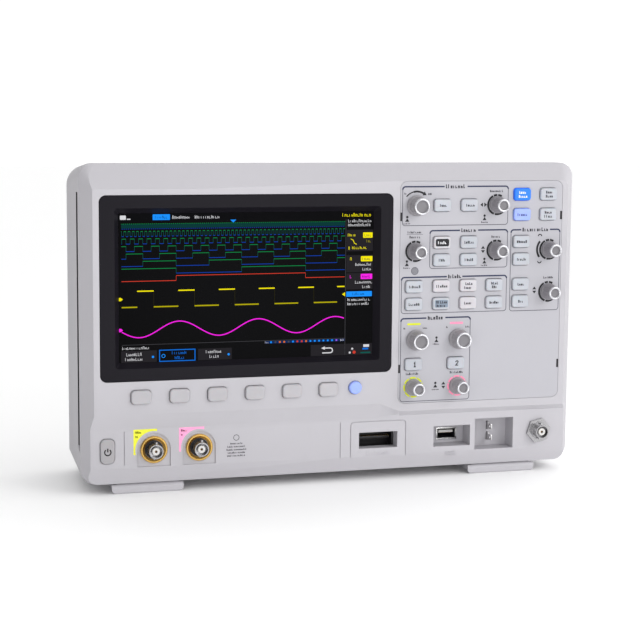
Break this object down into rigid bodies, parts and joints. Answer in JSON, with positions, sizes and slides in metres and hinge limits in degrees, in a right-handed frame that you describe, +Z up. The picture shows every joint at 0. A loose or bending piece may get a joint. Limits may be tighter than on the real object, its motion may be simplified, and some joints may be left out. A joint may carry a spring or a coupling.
{
  "type": "oscilloscope",
  "caption": "Bench digital oscilloscope with a wide colour screen, control keys and knobs, front coaxial inputs, tilt legs and a pull-up handle.",
  "frame": {"origin": "on the table under the middle of the instrument's overall box", "axes": "+X to the user's right along the front, +Y away from the user, +Z up"},
  "size_m": [0.352, 0.111, 0.221],
  "materials": {
    "casing": "fine spark texture, pale warm grey",
    "overlay": "fine matt film, pale grey",
    "screen_frame": "satin charcoal",
    "display": "smooth, low gloss",
    "key_pale": "smooth matt silicone",
    "key_blue": "translucent blue silicone",
    "key_periwinkle": "translucent periwinkle silicone",
    "key_grey": "matt mid grey silicone",
    "knob": "satin grey with a bright tip ring",
    "handle": "textured grey",
    "fan_black": "moulded black",
    "membrane": "smooth silicone",
    "circuit_board": "green solder mask",
    "sheet_metal": "zinc plated sheet",
    "supply_black": "moulded black",
    "nickel": "nickel plated",
    "brass": "gilt brass, turned",
    "screw_steel": "zinc plated"
  },
  "bodies": {
    "casing": {"bnc_connectors": "nickel", "case_screws": "screw_steel", "chassis_plate": "sheet_metal", "control_board": "circuit_board", "control_overlay": "overlay", "display_module": "display", "fan_frame": "fan_black", "front_bezel": "casing", "keypad_membrane": "membrane", "main_board": "circuit_board", "power_supply": "supply_black", "rear_cover": "casing", "screen_frame": "screen_frame", "sense_rings": "brass"},
    "tilt_leg_left": {"tilt_leg_left": "casing"},
    "tilt_leg_right": {"tilt_leg_right": "casing"},
    "carry_handle": {"carry_handle": "handle"},
    "fan_rotor": {"fan_rotor": "fan_black"},
    "knob_horizontal_scale": {"knob_horizontal_scale": "knob"},
    "knob_horizontal_position": {"knob_horizontal_position": "knob"},
    "knob_adjust": {"knob_adjust": "knob"},
    "knob_trigger_level": {"knob_trigger_level": "knob"},
    "knob_multi_upper": {"knob_multi_upper": "knob"},
    "knob_multi_lower": {"knob_multi_lower": "knob"},
    "knob_scale_1": {"knob_scale_1": "knob"},
    "knob_scale_2": {"knob_scale_2": "knob"},
    "knob_position_1": {"knob_position_1": "knob"},
    "knob_position_2": {"knob_position_2": "knob"},
    "key_acquire": {"key_acquire": "key_pale"},
    "key_auto_setup": {"key_auto_setup": "key_blue"},
    "key_channel_1": {"key_channel_1": "key_pale"},
    "key_channel_2": {"key_channel_2": "key_pale"},
    "key_clear": {"key_clear": "key_pale"},
    "key_cursors": {"key_cursors": "key_pale"},
    "key_decode": {"key_decode": "key_pale"},
    "key_default": {"key_default": "key_periwinkle"},
    "key_digital": {"key_digital": "key_pale"},
    "key_display": {"key_display": "key_pale"},
    "key_generator": {"key_generator": "key_pale"},
    "key_history": {"key_history": "key_pale"},
    "key_math": {"key_math": "key_pale"},
    "key_measure": {"key_measure": "key_pale"},
    "key_reference": {"key_reference": "key_pale"},
    "key_roll": {"key_roll": "key_pale"},
    "key_run_stop": {"key_run_stop": "key_pale"},
    "key_save": {"key_save": "key_pale"},
    "key_trigger_auto": {"key_trigger_auto": "key_pale"},
    "key_trigger_normal": {"key_trigger_normal": "key_pale"},
    "key_trigger_setup": {"key_trigger_setup": "key_pale"},
    "key_trigger_single": {"key_trigger_single": "key_pale"},
    "key_utility": {"key_utility": "key_pale"},
    "key_zoom": {"key_zoom": "key_pale"},
    "power_key": {"power_key": "key_grey"},
    "print_key": {"print_key": "key_periwinkle"},
    "soft_key_1": {"soft_key_1": "key_pale"},
    "soft_key_2": {"soft_key_2": "key_pale"},
    "soft_key_3": {"soft_key_3": "key_pale"},
    "soft_key_4": {"soft_key_4": "key_pale"},
    "soft_key_5": {"soft_key_5": "key_pale"},
    "soft_key_6": {"soft_key_6": "key_pale"}
  },
  "joints": [
    {"name": "tilt_leg_left_fold", "type": "hinge", "parent": "casing", "child": "tilt_leg_left", "pos_m": [-0.13125, -0.0315, 0.0034], "axis": [-1, 0, 0], "range_deg": [0, 95]},
    {"name": "tilt_leg_right_fold", "type": "hinge", "parent": "casing", "child": "tilt_leg_right", "pos_m": [0.1252, -0.0315, 0.0034], "axis": [-1, 0, 0], "range_deg": [0, 95]},
    {"name": "carry_handle_pull", "type": "slide", "parent": "casing", "child": "carry_handle", "axis": [0, 0, 1], "range_m": [0, 0.026]},
    {"name": "fan_rotor_spin", "type": "hinge", "parent": "casing", "child": "fan_rotor", "pos_m": [0.095, 0.0445, 0.125], "axis": [0, 1, 0], "continuous": true},
    {"name": "knob_horizontal_scale_turn", "type": "hinge", "parent": "casing", "child": "knob_horizontal_scale", "pos_m": [0.0552, -0.0485, 0.1919], "axis": [0, 1, 0], "continuous": true},
    {"name": "knob_horizontal_position_turn", "type": "hinge", "parent": "casing", "child": "knob_horizontal_position", "pos_m": [0.1147, -0.0485, 0.1922], "axis": [0, 1, 0], "continuous": true},
    {"name": "knob_adjust_turn", "type": "hinge", "parent": "casing", "child": "knob_adjust", "pos_m": [0.0547, -0.0485, 0.1605], "axis": [0, 1, 0], "continuous": true},
    {"name": "knob_trigger_level_turn", "type": "hinge", "parent": "casing", "child": "knob_trigger_level", "pos_m": [0.1148, -0.0485, 0.1604], "axis": [0, 1, 0], "continuous": true},
    {"name": "knob_multi_upper_turn", "type": "hinge", "parent": "casing", "child": "knob_multi_upper", "pos_m": [0.1548, -0.0485, 0.1603], "axis": [0, 1, 0], "continuous": true},
    {"name": "knob_multi_lower_turn", "type": "hinge", "parent": "casing", "child": "knob_multi_lower", "pos_m": [0.1548, -0.0485, 0.1304], "axis": [0, 1, 0], "continuous": true},
    {"name": "knob_scale_1_turn", "type": "hinge", "parent": "casing", "child": "knob_scale_1", "pos_m": [0.056, -0.0485, 0.0988], "axis": [0, 1, 0], "continuous": true},
    {"name": "knob_scale_2_turn", "type": "hinge", "parent": "casing", "child": "knob_scale_2", "pos_m": [0.0875, -0.0485, 0.0988], "axis": [0, 1, 0], "continuous": true},
    {"name": "knob_position_1_turn", "type": "hinge", "parent": "casing", "child": "knob_position_1", "pos_m": [0.0546, -0.0485, 0.0656], "axis": [0, 1, 0], "continuous": true},
    {"name": "knob_position_2_turn", "type": "hinge", "parent": "casing", "child": "knob_position_2", "pos_m": [0.0872, -0.0485, 0.0656], "axis": [0, 1, 0], "continuous": true},
    {"name": "key_acquire_press", "type": "slide", "parent": "casing", "child": "key_acquire", "axis": [0, 1, 0], "range_m": [0, 0.001], "stiffness_N_per_m": 400},
    {"name": "key_auto_setup_press", "type": "slide", "parent": "casing", "child": "key_auto_setup", "axis": [0, 1, 0], "range_m": [0, 0.001], "stiffness_N_per_m": 400},
    {"name": "key_channel_1_press", "type": "slide", "parent": "casing", "child": "key_channel_1", "axis": [0, 1, 0], "range_m": [0, 0.001], "stiffness_N_per_m": 400},
    {"name": "key_channel_2_press", "type": "slide", "parent": "casing", "child": "key_channel_2", "axis": [0, 1, 0], "range_m": [0, 0.001], "stiffness_N_per_m": 400},
    {"name": "key_clear_press", "type": "slide", "parent": "casing", "child": "key_clear", "axis": [0, 1, 0], "range_m": [0, 0.001], "stiffness_N_per_m": 400},
    {"name": "key_cursors_press", "type": "slide", "parent": "casing", "child": "key_cursors", "axis": [0, 1, 0], "range_m": [0, 0.001], "stiffness_N_per_m": 400},
    {"name": "key_decode_press", "type": "slide", "parent": "casing", "child": "key_decode", "axis": [0, 1, 0], "range_m": [0, 0.001], "stiffness_N_per_m": 400},
    {"name": "key_default_press", "type": "slide", "parent": "casing", "child": "key_default", "axis": [0, 1, 0], "range_m": [0, 0.001], "stiffness_N_per_m": 400},
    {"name": "key_digital_press", "type": "slide", "parent": "casing", "child": "key_digital", "axis": [0, 1, 0], "range_m": [0, 0.001], "stiffness_N_per_m": 400},
    {"name": "key_display_press", "type": "slide", "parent": "casing", "child": "key_display", "axis": [0, 1, 0], "range_m": [0, 0.001], "stiffness_N_per_m": 400},
    {"name": "key_generator_press", "type": "slide", "parent": "casing", "child": "key_generator", "axis": [0, 1, 0], "range_m": [0, 0.001], "stiffness_N_per_m": 400},
    {"name": "key_history_press", "type": "slide", "parent": "casing", "child": "key_history", "axis": [0, 1, 0], "range_m": [0, 0.001], "stiffness_N_per_m": 400},
    {"name": "key_math_press", "type": "slide", "parent": "casing", "child": "key_math", "axis": [0, 1, 0], "range_m": [0, 0.001], "stiffness_N_per_m": 400},
    {"name": "key_measure_press", "type": "slide", "parent": "casing", "child": "key_measure", "axis": [0, 1, 0], "range_m": [0, 0.001], "stiffness_N_per_m": 400},
    {"name": "key_reference_press", "type": "slide", "parent": "casing", "child": "key_reference", "axis": [0, 1, 0], "range_m": [0, 0.001], "stiffness_N_per_m": 400},
    {"name": "key_roll_press", "type": "slide", "parent": "casing", "child": "key_roll", "axis": [0, 1, 0], "range_m": [0, 0.001], "stiffness_N_per_m": 400},
    {"name": "key_run_stop_press", "type": "slide", "parent": "casing", "child": "key_run_stop", "axis": [0, 1, 0], "range_m": [0, 0.001], "stiffness_N_per_m": 400},
    {"name": "key_save_press", "type": "slide", "parent": "casing", "child": "key_save", "axis": [0, 1, 0], "range_m": [0, 0.001], "stiffness_N_per_m": 400},
    {"name": "key_trigger_auto_press", "type": "slide", "parent": "casing", "child": "key_trigger_auto", "axis": [0, 1, 0], "range_m": [0, 0.001], "stiffness_N_per_m": 400},
    {"name": "key_trigger_normal_press", "type": "slide", "parent": "casing", "child": "key_trigger_normal", "axis": [0, 1, 0], "range_m": [0, 0.001], "stiffness_N_per_m": 400},
    {"name": "key_trigger_setup_press", "type": "slide", "parent": "casing", "child": "key_trigger_setup", "axis": [0, 1, 0], "range_m": [0, 0.001], "stiffness_N_per_m": 400},
    {"name": "key_trigger_single_press", "type": "slide", "parent": "casing", "child": "key_trigger_single", "axis": [0, 1, 0], "range_m": [0, 0.001], "stiffness_N_per_m": 400},
    {"name": "key_utility_press", "type": "slide", "parent": "casing", "child": "key_utility", "axis": [0, 1, 0], "range_m": [0, 0.001], "stiffness_N_per_m": 400},
    {"name": "key_zoom_press", "type": "slide", "parent": "casing", "child": "key_zoom", "axis": [0, 1, 0], "range_m": [0, 0.001], "stiffness_N_per_m": 400},
    {"name": "power_key_press", "type": "slide", "parent": "casing", "child": "power_key", "axis": [0, 1, 0], "range_m": [0, 0.001], "stiffness_N_per_m": 400},
    {"name": "print_key_press", "type": "slide", "parent": "casing", "child": "print_key", "axis": [0, 1, 0], "range_m": [0, 0.001], "stiffness_N_per_m": 400},
    {"name": "soft_key_1_press", "type": "slide", "parent": "casing", "child": "soft_key_1", "axis": [0, 1, 0], "range_m": [0, 0.001], "stiffness_N_per_m": 400},
    {"name": "soft_key_2_press", "type": "slide", "parent": "casing", "child": "soft_key_2", "axis": [0, 1, 0], "range_m": [0, 0.001], "stiffness_N_per_m": 400},
    {"name": "soft_key_3_press", "type": "slide", "parent": "casing", "child": "soft_key_3", "axis": [0, 1, 0], "range_m": [0, 0.001], "stiffness_N_per_m": 400},
    {"name": "soft_key_4_press", "type": "slide", "parent": "casing", "child": "soft_key_4", "axis": [0, 1, 0], "range_m": [0, 0.001], "stiffness_N_per_m": 400},
    {"name": "soft_key_5_press", "type": "slide", "parent": "casing", "child": "soft_key_5", "axis": [0, 1, 0], "range_m": [0, 0.001], "stiffness_N_per_m": 400},
    {"name": "soft_key_6_press", "type": "slide", "parent": "casing", "child": "soft_key_6", "axis": [0, 1, 0], "range_m": [0, 0.001], "stiffness_N_per_m": 400}
  ]
}
